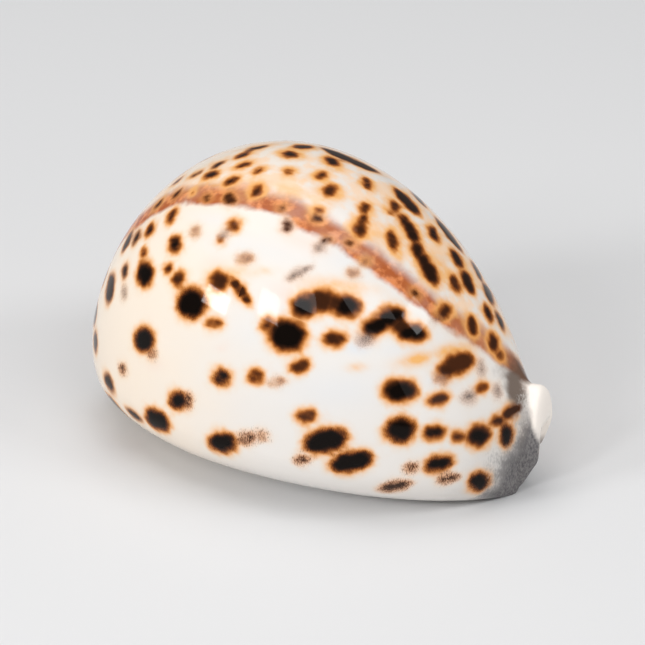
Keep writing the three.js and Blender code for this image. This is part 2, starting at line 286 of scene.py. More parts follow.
def teeth_tree():
    """Geometry nodes that press the grooves between the teeth into the lips"""
    tree = bpy.data.node_groups.new("shell_teeth", "GeometryNodeTree")
    face = tree.interface
    face.new_socket("Geometry", in_out="INPUT", socket_type="NodeSocketGeometry")
    for name in ("Pitch", "Half row", "Fade", "Outer groove", "Inner groove", "Middle"):
        face.new_socket(name, in_out="INPUT", socket_type="NodeSocketFloat")
    face.new_socket("Enamel", in_out="INPUT", socket_type="NodeSocketMaterial")
    face.new_socket("Geometry", in_out="OUTPUT", socket_type="NodeSocketGeometry")
    entry = tree.nodes.new("NodeGroupInput").outputs
    leaving = tree.nodes.new("NodeGroupOutput")

    def math_node(kind, *values):
        node = tree.nodes.new("ShaderNodeMath")
        node.operation = kind
        for socket, value in zip(node.inputs, values):
            if isinstance(value, (int, float)):
                socket.default_value = value
            else:
                tree.links.new(value, socket)
        return node.outputs[0]

    def stored(name):
        node = tree.nodes.new("GeometryNodeInputNamedAttribute")
        node.data_type = "FLOAT"
        node.inputs["Name"].default_value = name
        return node.outputs["Attribute"]

    place = tree.nodes.new("ShaderNodeSeparateXYZ")
    tree.links.new(tree.nodes.new("GeometryNodeInputPosition").outputs[0], place.inputs[0])
    x = math_node("SUBTRACT", place.outputs["X"], entry["Middle"])
    inner = stored("inner_lip")
    shift = math_node("MULTIPLY", inner, math_node("MULTIPLY", entry["Pitch"], 0.5))
    turns = math_node("DIVIDE", math_node("ADD", x, shift), entry["Pitch"])
    wave = math_node("COSINE", math_node("MULTIPLY", turns, 2 * math.pi))
    groove = math_node("MULTIPLY_ADD", wave, -0.5, 0.5)
    left = math_node("SUBTRACT", entry["Half row"], math_node("ABSOLUTE", x))
    fade = tree.nodes.new("ShaderNodeMapRange")
    fade.interpolation_type = "SMOOTHSTEP"
    tree.links.new(left, fade.inputs["Value"])
    tree.links.new(entry["Fade"], fade.inputs["From Max"])
    difference = math_node("SUBTRACT", entry["Inner groove"], entry["Outer groove"])
    depth = math_node("ADD", entry["Outer groove"], math_node("MULTIPLY", inner, difference))
    size = math_node("MULTIPLY", math_node("MULTIPLY", groove, fade.outputs[0]), depth)
    size = math_node("MULTIPLY", size, stored("lip_reach"))
    inward = tree.nodes.new("ShaderNodeVectorMath")
    inward.operation = "SCALE"
    tree.links.new(tree.nodes.new("GeometryNodeInputNormal").outputs[0], inward.inputs[0])
    tree.links.new(math_node("MULTIPLY", size, -1.0), inward.inputs["Scale"])
    press = tree.nodes.new("GeometryNodeSetPosition")
    tree.links.new(entry["Geometry"], press.inputs["Geometry"])
    tree.links.new(inward.outputs[0], press.inputs["Offset"])
    real = tree.nodes.new("GeometryNodeRealizeInstances")
    dress = tree.nodes.new("GeometryNodeSetMaterial")
    tree.links.new(press.outputs[0], real.inputs[0])
    tree.links.new(real.outputs[0], dress.inputs["Geometry"])
    tree.links.new(entry["Enamel"], dress.inputs["Material"])
    tree.links.new(dress.outputs[0], leaving.inputs[0])
    return tree


# The markings. Pigment laid down by the mantle: dark spots with amber rims, some greyed and softened by a
# veil that is partly later milky enamel and partly painted reflection of the soft boxes, and a rusty line
# where the two halves of the mantle met. A seen spot is its place, width and height in the picture in pixels,
# its tilt there in degrees, and its kind.
# A kind is how dark the core is, how strong the amber rim, how much veil (partly milky enamel, partly
# painted reflection), and how frayed.
KINDS = {
    "black": (1.0, 1.0, 0.0, 0.2),
    "crisp": (1.0, 0.95, 0.0, 0.15),
    "top": (0.88, 1.0, 0.0, 0.35),
    "edge": (0.9, 0.5, 0.05, 0.15),
    "brown": (0.78, 1.0, 0.0, 0.2),
    "olive": (0.68, 1.0, 0.0, 0.35),
    "amber": (0.45, 1.1, 0.0, 0.3),
    "rust": (0.75, 0.25, 0.0, 0.4),
    "grey": (0.8, 0.15, 0.45, 0.6),
    "faint": (0.5, 0.4, 0.7, 0.6),
    "frayed": (1.0, 0.95, 0.0, 0.75),
    "specks": (0.85, 0.4, 0.1, 1.9),
}
SPOTS = [
    # the far side of the line, from the back end to the beak
    (303, 147, 22, 5, 0, "top"), (290, 154.5, 17, 8, -8, "top"), (256.5, 148, 24, 4, 12, "edge"),
    (242.5, 155.3, 17, 5, 20, "top"), (217.5, 165, 17, 5, 27, "edge"), (244, 165, 16, 5.5, 20, "top"),
    (259, 170.5, 12, 5, 25, "olive"), (289, 171.5, 9, 6, 0, "olive"), (211.5, 174.5, 17, 7, 18, "top"),
    (196.5, 174, 14, 4, 28, "edge"), (231.5, 181, 17, 7, 25, "top"), (177, 181.5, 14, 3, 40, "edge"),
    (256.5, 191, 16, 10, 40, "olive"), (332, 161.5, 17, 9, -28, "top"),
    (321.5, 175.5, 11, 8, 15, "olive"), (330, 190.5, 14, 15, -40, "olive"),
    (367, 183.5, 8, 16, 25, "olive"), (365, 208, 10, 12, 0, "olive"), (363, 219, 9, 12, 0, "olive"),
    (360.5, 230, 14, 16, 0, "brown"), (350, 160, 66, 7, -24, "edge"), (392.5, 241, 10, 22, 15, "olive"),
    (404, 221, 10, 16, 35, "top"), (411.5, 232, 12, 30, 28, "top"), (418, 250, 13, 22, 20, "top"),
    (423.5, 260, 13, 20, 28, "top"), (430, 272, 16, 30, 30, "top"), (407, 202, 10, 38, 44, "top"),
    (418.5, 199, 4, 24, 42, "edge"), (395, 206, 9, 14, 30, "olive"), (391.5, 212.5, 4, 9, 45, "olive"),
    (433.5, 233.5, 9, 18, 28, "top"), (449, 235, 6, 46, 38, "edge"), (457, 259, 9, 24, 28, "top"),
    (467.5, 281.5, 11, 27, 25, "top"), (455, 283.5, 9, 21, 22, "olive"),
    (477, 271.5, 5, 24, 27, "edge"), (488.5, 293.5, 8, 26, 25, "edge"),
    (488.5, 313.5, 8, 20, 20, "top"), (500, 321, 6, 23, 23, "edge"),
    # on the rusty line
    (177.5, 193.3, 17, 5, 45, "rust"), (207, 198, 12, 8, 10, "rust"), (230, 199, 15, 14, 0, "rust"),
    (192.5, 192.5, 2.2, 3, 0, "crisp"), (282.5, 208.5, 9, 8, 0, "rust"), (287, 226, 13, 15, 0, "rust"),
    (317, 218.5, 13, 9, -10, "rust"), (318.5, 211, 9, 7, 0, "olive"), (318.5, 247.5, 12, 12, 0, "grey"),
    (325, 240.5, 14, 7, 15, "rust"), (350, 243, 10, 8, 0, "rust"), (365, 262, 7, 6, 0, "faint"),
    (416, 293, 12, 9, -30, "rust"), (445, 311, 14, 17, -20, "brown"), (437, 319, 12, 8, 0, "grey"),
    (472.5, 326, 10, 22, 8, "brown"), (493.5, 343, 12, 20, 15, "brown"), (500, 355, 8, 12, 15, "brown"),
    # the near side, from the back end to the middle
    (158.5, 204, 15, 4, 50, "edge"), (171.5, 216.5, 8, 16, -28, "olive"), (150, 230, 8, 15, -28, "top"),
    (136.7, 237.5, 7, 17, -24, "edge"), (127.5, 241.5, 6, 25, -25, "edge"),
    (175, 244.3, 14, 18, 0, "crisp"), (195, 231.5, 9, 9, 0, "faint"), (234.5, 225, 12, 12, 0, "olive"),
    (224, 235, 12, 9, 40, "grey"), (220.5, 240.5, 5, 4, 0, "amber"), (245, 259, 17, 9, 0, "faint"),
    (299, 273, 30, 9, 28, "grey"), (145, 274.3, 19, 27, 0, "crisp"), (143.7, 253.5, 6, 10, 0, "olive"),
    (125, 271, 7, 17, -10, "edge"), (124.2, 293, 7, 14, 0, "grey"), (110, 288.5, 10, 33, -8, "edge"),
    (95.5, 313, 4.5, 28, -6, "edge"), (95.5, 342, 6, 22, 0, "edge"), (168.3, 268.5, 10, 9, 0, "brown"),
    (178.5, 279, 14, 14, 0, "brown"), (191.7, 303.5, 31, 33, 0, "frayed"),
    (219, 281, 21, 19, 0, "brown"), (240.5, 291, 9, 36, 38, "brown"), (213.3, 323.5, 19, 9, 0, "brown"),
    (144.2, 340, 22, 28, 0, "frayed"), (151.5, 354, 10, 8, 0, "specks"),
    (109, 382.5, 9, 24, 24, "edge"), (122.5, 369, 9, 10, 0, "specks"),
    (178.5, 400.5, 20, 19, 0, "frayed"), (187, 400, 12, 14, 0, "specks"),
    (157.5, 420, 30, 19, -38, "frayed"), (134, 414.5, 22, 6, -40, "edge"),
    (221.7, 377.5, 20, 17, 0, "frayed"), (256.5, 376, 16, 14, 0, "olive"),
    (277, 382, 15, 6, 0, "faint"), (300, 366, 20, 13, 15, "olive"), (223, 442.5, 30, 22, -5, "frayed"),
    (247, 438.5, 20, 12, 10, "specks"), (262, 435.5, 12, 8, 0, "specks"),
    (306.7, 416, 22, 13, 8, "olive"), (301.5, 460, 16, 8, 0, "specks"),
    (287, 335.5, 40, 34, -8, "black"), (268, 325, 14, 14, 0, "brown"), (304.5, 306, 27, 24, 0, "crisp"),
    (312, 302, 20, 20, 0, "brown"), (322, 300, 26, 24, 0, "brown"), (335, 303, 20, 20, 0, "brown"),
    (346.5, 306.5, 30, 23, 0, "crisp"), (334.2, 339, 25, 15, 0, "brown"),
    (376, 326, 32, 20, 20, "crisp"), (391, 317, 30, 22, 15, "black"), (401, 327, 20, 18, 0, "brown"),
    (412, 333, 32, 19, -5, "black"), (366, 338, 18, 14, 20, "grey"), (354, 273, 11, 8, 0, "faint"),
    # the near side, from the middle to the beak
    (325.5, 440.5, 46, 27, 12, "frayed"), (351.5, 461.5, 46, 22, 12, "frayed"),
    (395, 486, 32, 11, 12, "specks"), (411.5, 467.5, 15, 8, 10, "specks"),
    (438.5, 463.5, 31, 17, 12, "frayed"), (448.5, 478.3, 21, 9, 12, "specks"),
    (479.5, 482, 23, 22, 10, "frayed"), (400, 391, 36, 25, 5, "black"),
    (438.5, 399, 22, 12, 12, "brown"), (400, 430, 32, 27, 10, "frayed"),
    (434.3, 432.5, 23, 15, 5, "black"), (458.5, 436.5, 14, 10, 0, "brown"),
    (478.5, 435.8, 26, 23, 10, "black"), (506.5, 435, 15, 25, 0, "frayed"),
    (447, 370, 22, 17, 17, "brown"), (459, 363, 34, 22, 17, "olive"),
    (441.5, 377.5, 14, 12, 0, "faint"), (469, 396.5, 16, 12, 20, "grey"),
    (482, 388, 14, 9, 30, "amber"), (497.5, 391, 8, 14, 0, "grey"), (481.7, 368.3, 7, 14, 0, "grey"),
    (512, 411, 26, 14, 30, "brown"), (497, 421, 16, 10, 20, "brown"),
]

# soft clouds of colour, by their place, width, height and tilt in the picture, colour and strength; the milky
# ones are partly the shell's milky enamel and partly painted reflection of the soft boxes
CLOUDS = [
    (418, 359, 44, 15, 12, "amber", 0.9), (452, 351, 50, 16, 12, "amber", 1.0),
    (287, 190, 70, 16, -12, "amber", 0.5), (215, 186, 40, 9, 5, "amber", 0.7),
    (256, 200, 24, 12, 0, "amber", 0.6), (335, 197, 22, 16, 0, "amber", 0.8),
    (340, 167, 18, 8, -30, "amber", 0.8), (298, 156, 16, 8, -20, "amber", 0.6),
    (378, 235, 16, 40, 10, "amber", 0.5), (400, 254, 10, 18, 10, "amber", 0.9),
    (440, 268, 22, 34, 20, "amber", 0.75), (322, 180, 14, 12, 0, "amber", 0.7),
    (356, 367, 22, 9, 0, "amber", 0.45), (232, 272, 50, 14, 0, "amber", 0.55),
    (340, 285, 70, 14, -8, "amber", 0.6), (460, 330, 30, 20, -35, "amber", 0.4),
    (301, 178, 40, 10, 0, "amber", 0.35), (262, 271, 30, 8, 0, "amber", 0.35),
    (292, 294, 44, 26, 0, "pink", 0.9), (215, 262, 30, 16, 0, "pink", 0.6),
    (223, 347, 14, 8, 0, "pink", 0.5), (300, 240, 60, 24, -20, "pink", 0.7),
    (155, 365, 20, 14, 0, "pink", 0.4), (240, 245, 120, 30, -10, "milk", 0.5),
    (345, 262, 50, 20, -25, "milk", 0.5), (358, 347, 30, 16, 0, "milk", 1.4),
    (440, 380, 26, 18, 0, "milk", 1.4), (340, 390, 110, 50, 0, "milk", 0.6),
    (250, 335, 60, 40, 0, "milk", 0.3), (215, 220, 60, 20, -10, "milk", 0.5),
    (400, 350, 60, 20, 0, "milk", 0.5), (262, 184, 30, 9, 10, "milk", 0.4),
    (400, 285, 40, 16, -30, "milk", 0.4), (300, 340, 60, 20, 0, "milk", 0.2),
]
# the rusty line, as places in the picture from the back end to the beak
LINE = [
    (150, 212), (172, 199), (207, 196), (230, 196), (256, 200), (287, 209), (310, 222), (343, 241),
    (369, 259), (396, 278), (423, 300), (450, 319), (476, 337), (503, 357), (522, 373),
]

tree_of_shell = BVHTree.FromPolygons((points * MM).tolist(), quads.tolist())


def seen_ray(px, py):
    """The direction from the eye through a place in the picture"""
    across = (px - AIM_AT_PIXEL[0]) / FOCAL_PIXELS
    down = (py - AIM_AT_PIXEL[1]) / FOCAL_PIXELS
    return (-back + right * across - up * down).normalized()


def in_picture(points):
    """Where points in metres lie in the picture"""
    away = np.asarray(points) - np.array(eye)
    depth = -(away @ np.array(back))
    px = AIM_AT_PIXEL[0] + FOCAL_PIXELS * (away @ np.array(right)) / depth
    py = AIM_AT_PIXEL[1] - FOCAL_PIXELS * (away @ np.array(up)) / depth
    return px, py


def on_shell(px, py):
    """The place on the shell, in millimetres, that shows at a place in the picture"""
    hit = tree_of_shell.ray_cast(eye, seen_ray(px, py))
    if hit[0] is None:
        away = np.asarray(in_picture(points * MM)) - np.array([[px], [py]])
        distance = np.hypot(*away) + np.where(is_outside, 0, 1e6)
        return points[np.argmin(distance)]
    return np.array(hit[0]) / MM


def picture_offset(place, across):
    """How far points near a place lie from it, in pixels right and down, and in millimetres"""
    away = (across - place) * MM
    depth = -(np.array(place * MM - np.array(eye)) @ np.array(back))
    scale = FOCAL_PIXELS / depth
    far = np.linalg.norm(away, axis=1) / MM
    return scale * (away @ np.array(right)), -scale * (away @ np.array(up)), far


# how far from its middle an oval counts, in millimetres, and what holds past that; and how far an oval that
# is seen edge on may reach round the side, as a share of its longer size in the picture
SPOT_REACH, CLOUD_REACH = 22, 26
NO_SPOT, NO_CLOUD = 30.0, 9.0
LONGEST = 0.65


def oval(entry, across):
    """How far points of the shell lie from an oval's edge in millimetres, and as a share of its size"""
    px, py, width, height, tilt = entry[:5]
    right_of, below, far = picture_offset(on_shell(px, py), across)
    turn = math.radians(tilt)
    along = right_of * math.cos(turn) - below * math.sin(turn)
    over = right_of * math.sin(turn) + below * math.cos(turn)
    part = np.hypot(along / (width / 2), over / (height / 2)) + 1e-4
    longest = LONGEST * max(width, height) * DISTANCE / MM / FOCAL_PIXELS
    outside = np.where(far < SPOT_REACH, far - np.minimum(far / part, longest), NO_SPOT)
    return outside, np.where(far < CLOUD_REACH, part, NO_CLOUD)


# the distance over which spots that touch flow into each other, how fast one kind gives way to another and
# between which distances, and the distances from an edge that the mesh keeps, all in millimetres
FLOW = 0.5
GIVE_WAY, GIVE_WAY_FROM, GIVE_WAY_TO = 2.2, -2.5, 8
EDGE_FROM, EDGE_TO = -4, 6

skin = points[is_outside]
edge = np.full(len(skin), float(EDGE_TO))
weight_sum = np.full(len(skin), 1e-6)
kind_sums = np.zeros((4, len(skin)))
centres = []


def lay_spot(distance, kind):
    """Adds one spot: keeps the nearest edge, and blends the kinds of spots that touch"""
    global edge, weight_sum
    nearness = np.exp(-GIVE_WAY * np.clip(distance, GIVE_WAY_FROM, GIVE_WAY_TO))
    for k, value in enumerate(KINDS[kind]):
        kind_sums[k] += nearness * value
    weight_sum = weight_sum + nearness
    joined = np.clip(0.5 + 0.5 * (edge - distance) / FLOW, 0, 1)
    edge = mix(edge, distance, joined) - FLOW * joined * (1 - joined)


for spot in SPOTS:
    centres.append(on_shell(spot[0], spot[1]))
    lay_spot(oval(spot, skin)[0], spot[5])

# The sides that the picture doesn't show carry more of the same: small crowded spots on top, larger and
# looser ones down the sides, and none on the base or the beak
MOST_SPOTS, TRIES = 150, 4000
SIDE_SPOT, TOP_SPOT, SIZE_SPREAD = 3.4, 1.7, (0.7, 1.2)
CLEAR_OF_SEEN, CLEARANCE = 3.0, 1.28
STRETCH, SHRINKING = 0.25, 1.15
SPOTS_ABOVE, SPOTS_BEHIND, TURNED_AWAY = 7.5, 40.5, 0.02
SIDE_SHARE = 0.5
SIDE_KINDS, TOP_KINDS = ["crisp", "black", "frayed", "brown"], ["top", "olive", "brown"]

random = np.random.default_rng(7)
normals = np.zeros(len(points) * 3)
shell_mesh.vertices.foreach_get("normal", normals)
to_eye = np.array(eye) / MM - skin
to_eye /= np.linalg.norm(to_eye, axis=1)[:, None]
facing = (to_eye * normals.reshape(-1, 3)[is_outside]).sum(1)
allowed = (skin[:, 2] > SPOTS_ABOVE) & (skin[:, 0] < SPOTS_BEHIND)
hidden = np.flatnonzero((facing < TURNED_AWAY) & allowed)
placed = []
for attempt in range(TRIES):
    place = skin[random.choice(hidden)]
    height_share = place[2] / HEIGHT
    size = mix(SIDE_SPOT, TOP_SPOT, smooth(height_share * SHRINKING)) * random.uniform(*SIZE_SPREAD)
    if min(np.linalg.norm(np.array(centres) - place, axis=1)) < size + CLEAR_OF_SEEN:
        continue
    if any(np.linalg.norm(place - other) < (size + reach) * CLEARANCE for other, reach in placed):
        continue
    placed.append((place, size))
    away = skin - place
    stretch = 1 + STRETCH * random.random()
    far = np.sqrt((away[:, 0] / stretch) ** 2 + away[:, 1] ** 2 + away[:, 2] ** 2)
    lay_spot(far - size, str(random.choice(SIDE_KINDS if height_share < SIDE_SHARE else TOP_KINDS)))
    if len(placed) == MOST_SPOTS:
        break

# past both ends of the picture's line it runs on along the length of the shell
LINE_STEPS = 8
LINE_REACH = 40.0
PAST_END = 0.5

line_places = [on_shell(px, py) for px, py in LINE]
steps = np.linspace(0, 1, LINE_STEPS)[:, None]
line_points = [start + steps * (stop - start) for start, stop in zip(line_places[:-1], line_places[1:])]
for place, direction in ((line_places[0], -1), (line_places[-1], 1)):
    meridian = column_of[is_outside][np.argmin(np.linalg.norm(skin - place, axis=1))]
    further = direction * (points[:, 0] - place[0]) > PAST_END
    line_points.append(points[(column_of == meridian) & further])
line_points = np.concatenate(line_points)
to_line = np.sqrt(((skin[:, None, :] - line_points[None, :, :]) ** 2).sum(2))
line_side = np.sign(skin[:, 1] - line_points[to_line.argmin(1), 1])
line_field = np.clip(to_line.min(1), 0, LINE_REACH) * np.where(line_side == 0, 1, line_side)

CLOUD_FALL = 1.2

clouds = {"amber": np.zeros(len(skin)), "pink": np.zeros(len(skin)), "milk": np.zeros(len(skin))}
for cloud in CLOUDS:
    part = oval(cloud, skin)[1]
    clouds[cloud[5]] = np.maximum(clouds[cloud[5]], cloud[6] * np.exp(-CLOUD_FALL * part**2))


def on_all(values, elsewhere):
    """Spreads values of the outside over the whole mesh"""
    whole = np.full(len(points), float(elsewhere))
    whole[is_outside] = values
    return whole


keep(shell_mesh, "spot_edge", on_all(np.clip(edge, EDGE_FROM, EDGE_TO), EDGE_TO))
for name, values in zip(("spot_dark", "spot_rim", "spot_veil_and_sheen", "spot_fray"), kind_sums / weight_sum):
    keep(shell_mesh, name, on_all(values, 0))
mouth_side = (column_of > outside_last) & (column_of < inner_lip_last + INSIDE_STEPS // 2)
keep(shell_mesh, "line", np.where(mouth_side, LINE_REACH, on_all(line_field, -LINE_REACH)))
for name, values in clouds.items():
    keep(shell_mesh, name, on_all(values, 0))


# The enamel. Hard, thin and glassy, and polished by the mantle that covered it in life. Its colours lie in
# layers: a pale ground, clouds, the rusty line, the slate front margin, and over them the spots with their
# rims. None of them is raised.
WHITE = (0.8, 0.762, 0.722)
CREAM = (0.88, 0.77, 0.65)
PEACH = (0.9, 0.67, 0.49)
HONEY = (0.86, 0.46, 0.16)
AMBER = (0.72, 0.25, 0.05)
CHESTNUT = (0.3, 0.08, 0.016)
BROWN = (0.06, 0.018, 0.006)
BLACK = (0.004, 0.002, 0.0012)
SALMON = (0.72, 0.25, 0.09)
RUST = (0.42, 0.11, 0.035)
PINK = (0.86, 0.64, 0.54)
# bluish milky white: partly the enamel's own milky layer, partly painted reflection of the soft boxes
MILK_AND_SHEEN = (0.71, 0.735, 0.77)
# the grey core of a spot under a veil: partly sunk under milky enamel, partly painted reflection
GREY = (0.1, 0.1, 0.105)
SLATE = (0.115, 0.108, 0.112)
UMBER = (0.11, 0.07, 0.048)
CALLUS = (0.95, 0.88, 0.81)

enamel = bpy.data.materials.new("glossy_enamel")
enamel.use_nodes = True
nodes, links = enamel.node_tree.nodes, enamel.node_tree.links
nodes.clear()


def number(kind, *values, clamp=False):
    """The result of a sum in the material, of plain numbers and of results before it"""
    node = nodes.new("ShaderNodeMath")
    node.operation = kind
    node.use_clamp = clamp
    for socket, value in zip(node.inputs, values):
        if isinstance(value, (int, float)):
            socket.default_value = value
        else:
            links.new(value, socket)
    return node.outputs[0]


def ramp(value, start, stop, low=0.0, high=1.0):
    """low before start, high after stop, and smooth between"""
    node = nodes.new("ShaderNodeMapRange")
    node.interpolation_type = "SMOOTHSTEP"
    links.new(value, node.inputs["Value"])
    for name, setting in (("From Min", start), ("From Max", stop), ("To Min", low), ("To Max", high)):
        node.inputs[name].default_value = setting
    return node.outputs[0]


def blend(base, top, amount):
    """One colour laid over another; amount is how much of it shows, from 0 to 1"""
    node = nodes.new("ShaderNodeMix")
    node.data_type = "RGBA"
    for socket, value in ((node.inputs[6], base), (node.inputs[7], top)):
        if isinstance(value, tuple):
            socket.default_value = (*value, 1)
        else:
            links.new(value, socket)
    links.new(amount, node.inputs[0])
    return node.outputs[2]


def from_mesh(name):
    """A value that the mesh keeps for its points"""
    node = nodes.new("ShaderNodeAttribute")
    node.attribute_name = name
    return node.outputs["Fac"]


def noise(size_mm, detail=3.0, stretch=(1, 1, 1)):
    """Cloudy noise, from 0 to 1, whose lumps are about as wide as size_mm, drawn out by stretch"""
    place = nodes.new("ShaderNodeTexCoord")
    scale = nodes.new("ShaderNodeMapping")
    scale.inputs["Scale"].default_value = [1 / (size_mm * MM * s) for s in stretch]
    links.new(place.outputs["Object"], scale.inputs["Vector"])
    node = nodes.new("ShaderNodeTexNoise")
    node.inputs["Scale"].default_value = 1.0
    node.inputs["Detail"].default_value = detail
    links.new(scale.outputs[0], node.inputs["Vector"])
    return node.outputs["Fac"]


coordinates = nodes.new("ShaderNodeSeparateXYZ")
object_place = nodes.new("ShaderNodeTexCoord")
links.new(object_place.outputs["Object"], coordinates.inputs[0])
x_mm = number("DIVIDE", coordinates.outputs[0], MM)
y_mm = number("DIVIDE", coordinates.outputs[1], MM)
z_mm = number("DIVIDE", coordinates.outputs[2], MM)

# ground: white, cream at the back end and peach past the line, with milky clouds that are partly painted
# reflection of the soft boxes, and pink and amber clouds; each pair says where a colour comes or goes, in
# millimetres from the line, along the shell or up
LINE_WANDER = 3.0
CREAM_ALONG, CREAM_WANDER = (-20, 16), 16
PEACH_EDGE, PEACH_FADE, BASE_EDGE = (-0.5, 2.5), (16, 44), (5, 11)
MILK_AND_SHEEN_STRENGTH, PINK_STRENGTH = 0.7, 0.6

line = number("ADD", from_mesh("line"), number("MULTIPLY_ADD", noise(5, 4), LINE_WANDER, -LINE_WANDER / 2))
above_base = ramp(z_mm, *BASE_EDGE)
fading = number("MULTIPLY", above_base, ramp(line, *PEACH_FADE, 1.0, 0.35))
beyond = number("MULTIPLY", ramp(line, *PEACH_EDGE), fading)
along = number("ADD", x_mm, number("MULTIPLY", noise(9), CREAM_WANDER))
ground = blend(WHITE, CREAM, ramp(along, *CREAM_ALONG, 1.0, 0.0))
ground = blend(ground, PEACH, number("MULTIPLY", beyond, ramp(noise(4, 4), 0.42, 0.6, 0.05, 1.0)))
# the milky clouds: partly milky enamel, partly painted reflection of the overhead and front soft boxes
ground = blend(ground, MILK_AND_SHEEN, number("MULTIPLY", from_mesh("milk"), MILK_AND_SHEEN_STRENGTH))
ground = blend(ground, PINK, number("MULTIPLY", from_mesh("pink"), PINK_STRENGTH))
amber_cloud = number("MULTIPLY", from_mesh("amber"), ramp(noise(3), 0.2, 0.7, 0.6, 1.4), clamp=True)
ground = blend(ground, HONEY, amber_cloud)

# the line: salmon with rusty blotches, all rust towards the beak
LINE_LOW_EDGE, LINE_HIGH_EDGE, LINE_RUSTY = (-2.7, -1.1), (0.8, 4.2), (24, 34)

line_mask = number("MULTIPLY", ramp(line, *LINE_LOW_EDGE), ramp(line, *LINE_HIGH_EDGE, 1.0, 0.0))
line_mask = number("MULTIPLY", line_mask, ramp(noise(5), 0.25, 0.6, 0.85, 1.0))
line_mask = number("MULTIPLY", line_mask, above_base)
line_colour = blend(SALMON, RUST, ramp(noise(2.2, 4), 0.36, 0.56))
line_colour = blend(line_colour, RUST, ramp(x_mm, *LINE_RUSTY, 0.0, 0.7))
ground = blend(ground, line_colour, line_mask)

# the front end: a slate margin low down and an umber collar round the neck; their edges lean with height
MARGIN_LEAN, BEAK_LEAN = -0.37, 0.45
FRONT_BLUR, FRONT_FRAY = 5.0, 4.0
SLATE_EDGE, SLATE_HAZE = (34.0, 38.2), (29.5, 34.5)
COLLAR_EDGE, COLLAR_END = (47.6, 49.3), (33.0, 36.0)

blur = number("MULTIPLY_ADD", noise(4, 4), FRONT_BLUR, -FRONT_BLUR / 2)
streaks = noise(0.35, 3, (1.0, 1.0, 2.0))
frayed_front = number("MULTIPLY_ADD", streaks, FRONT_FRAY, -FRONT_FRAY / 2)
by_margin = number("MULTIPLY_ADD", z_mm, MARGIN_LEAN, x_mm)
by_margin = number("ADD", by_margin, number("ADD", blur, frayed_front))
by_beak = number("MULTIPLY_ADD", z_mm, BEAK_LEAN, number("MULTIPLY_ADD", blur, 0.5, x_mm))
haze = ramp(by_margin, *SLATE_HAZE, 0.0, 0.1)
slate = number("ADD", ramp(by_margin, *SLATE_EDGE, 0.0, 0.9), haze, clamp=True)
ground = blend(ground, SLATE, number("MULTIPLY", slate, ramp(streaks, 0.3, 0.7, 1.0, 0.82)))
neck = ramp(by_beak, *COLLAR_EDGE)
ground = blend(ground, UMBER, number("MULTIPLY", neck, ramp(by_margin, *COLLAR_END, 0.9, 0.0)))
plain = number("SUBTRACT", 1.0, number("MAXIMUM", slate, neck), clamp=True)

# spots, by the distance from their edge: outside a honey halo and glow, an amber ring and a chestnut one
# inside it, and a dark core that frays into hairs; under a veil they are grey and soft, the veil partly milky
# enamel and partly painted reflection of the soft boxes
SPOT_WANDER, FRAY_REACH = 1.2, 2.2
VEIL_SOFTNESS, VEIL_CLEARNESS = 3.0, 0.3
HALO, GLOW, RING, INNER_RING = (0.0, 2.5), (-0.3, 1.5), (-0.5, 0.95), (-0.8, 0.45)
CORE_EDGE, BROWN_EDGE, BLACK_EDGE = (-0.9, 0.4), (-1.2, 0.3), (-1.5, -0.3)
HALO_NEAR, HALO_BEYOND = 0.25, 0.5

# the veil greys and softens spots: partly milky enamel over them, partly painted reflection of the soft boxes
veil_and_sheen = from_mesh("spot_veil_and_sheen")
dark = from_mesh("spot_dark")
rim = number("MULTIPLY", from_mesh("spot_rim"), plain)
wander = number("MULTIPLY_ADD", noise(1.8, 1), SPOT_WANDER, -SPOT_WANDER / 2)
edge_mm = number("ADD", from_mesh("spot_edge"), wander)
grain = number("SUBTRACT", noise(0.13, 2, (1, 1, 4.0)), 0.5)
hairs = number("MULTIPLY", grain, number("MULTIPLY", from_mesh("spot_fray"), FRAY_REACH))
sunk = number("DIVIDE", edge_mm, number("MULTIPLY_ADD", veil_and_sheen, VEIL_SOFTNESS, 1.0))
body = ramp(number("ADD", sunk, hairs), *CORE_EDGE, 1.0, 0.0)
halo = number("MULTIPLY_ADD", beyond, HALO_BEYOND, HALO_NEAR)
halo = number("MULTIPLY", ramp(edge_mm, *HALO, 1.0, 0.0), halo)
halo = number("MULTIPLY", halo, ramp(noise(3), 0.36, 0.6, 0.2, 1.2))
ground = blend(ground, HONEY, number("MULTIPLY", halo, rim, clamp=True))
for tone, width in ((HONEY, GLOW), (AMBER, RING), (CHESTNUT, INNER_RING)):
    ground = blend(ground, tone, number("MULTIPLY", ramp(edge_mm, *width, 1.0, 0.0), rim, clamp=True))
deep_brown = number("MULTIPLY", ramp(dark, 0.2, 0.6), ramp(edge_mm, *BROWN_EDGE, 1.0, 0.5))
deep_black = number("MULTIPLY", ramp(dark, 0.65, 1.0), ramp(edge_mm, *BLACK_EDGE, 1.0, 0.25))
core = blend(blend(blend(CHESTNUT, BROWN, deep_brown), BLACK, deep_black), GREY, veil_and_sheen)
seen_through = number("SUBTRACT", 1.0, number("MULTIPLY", veil_and_sheen, VEIL_CLEARNESS))
colour = blend(ground, core, number("MULTIPLY", body, seen_through))

# the bare callus of the beak, which runs down to a point, and on along the side of the canal
CALLUS_EDGE = (50.1, 51.5)
CANAL_Y, CANAL_X, CANAL_Z = (-3.8, -2.8), (41.5, 43.0), (8, 11)

canal_side = number("MULTIPLY", ramp(x_mm, *CANAL_X), ramp(z_mm, *CANAL_Z))
canal_side = number("MULTIPLY", ramp(y_mm, *CANAL_Y), canal_side)
bare = number("MAXIMUM", ramp(by_beak, *CALLUS_EDGE), canal_side)
colour = blend(colour, CALLUS, bare)

# the polish: glassy, a little duller on the margin and the callus, with faint waves, and growth lines low
# down; the depths are in millimetres
GLOSS, GLOSS_SPREAD, DULLER = 0.025, 0.025, 0.14
WAVE_DEPTH, GROWTH_DEPTH, GROWTH_FADE = 0.03, 0.012, (3, 12)
SHINE = 0.11

